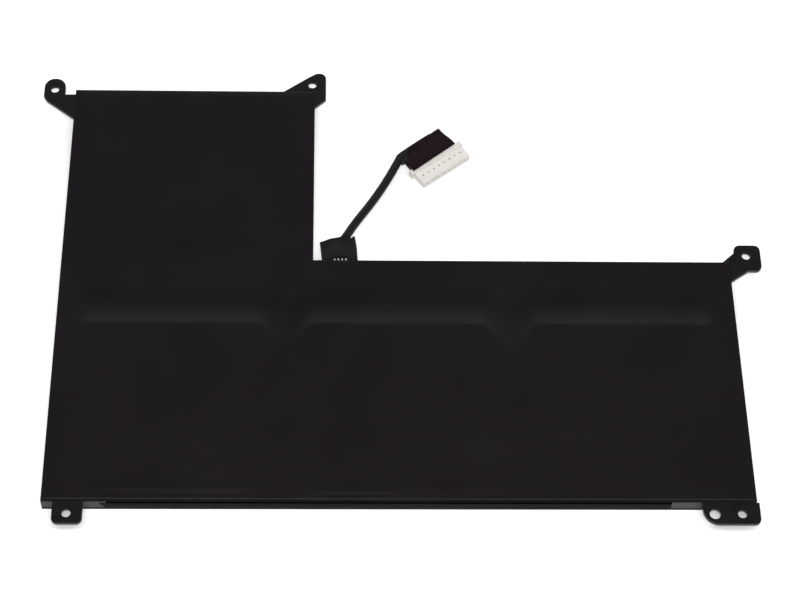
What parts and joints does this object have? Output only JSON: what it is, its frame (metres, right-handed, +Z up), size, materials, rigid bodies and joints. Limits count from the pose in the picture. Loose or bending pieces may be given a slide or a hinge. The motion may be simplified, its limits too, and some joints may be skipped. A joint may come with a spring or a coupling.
{
  "type": "laptop battery",
  "caption": "Flat L-shaped laptop battery wrapped in black film, with moulded screw lugs at its corners and a short cable ending in a white connector.",
  "frame": {"origin": "middle of the pack's underside, halfway between the outermost lugs, on the surface that it lies on", "axes": "+X along the row of cells to the right, +Y from the front edge to the limb's back, +Z up from the underside to the lug side"},
  "size_m": [0.2662, 0.1908, 0.0058],
  "materials": {
    "film": "satin black polyester film",
    "frame": "moulded black plastic",
    "cell": "laminated foil pouch",
    "tab": "plain aluminium strip",
    "nickel": "nickel-plated strip",
    "board": "green solder mask",
    "chip": "moulded epoxy",
    "ceramic": "fired ceramic body",
    "insulator": "amber insulating film",
    "adhesive": "double-sided adhesive tape",
    "foam": "closed-cell foam",
    "wire": "black insulated wire",
    "tape": "black acetate tape",
    "connector": "off-white moulded nylon",
    "contact": "tin-plated brass"
  },
  "bodies": {
    "root": {"top_film": "film", "bottom_film": "film", "left_frame": "frame", "right_frame": "frame", "front_rail": "frame", "board_tray": "frame", "cell_row_left": "cell", "cell_row_middle": "cell", "cell_row_right": "cell", "cell_limb": "cell", "positive_tabs": "tab", "negative_tabs": "nickel", "protection_board": "board", "gauge_chip": "chip", "guard_chip": "chip", "power_transistors": "chip", "sense_resistor": "nickel", "fuse": "ceramic", "capacitors": "ceramic", "thermistor": "chip", "board_insulator": "insulator", "adhesive_strips": "adhesive", "limb_spacers": "foam", "board_leads": "wire", "root_tape": "tape", "cable": "wire", "tail_tape": "tape", "connector_housing": "connector", "connector_contacts": "contact"}
  },
  "joints": []
}
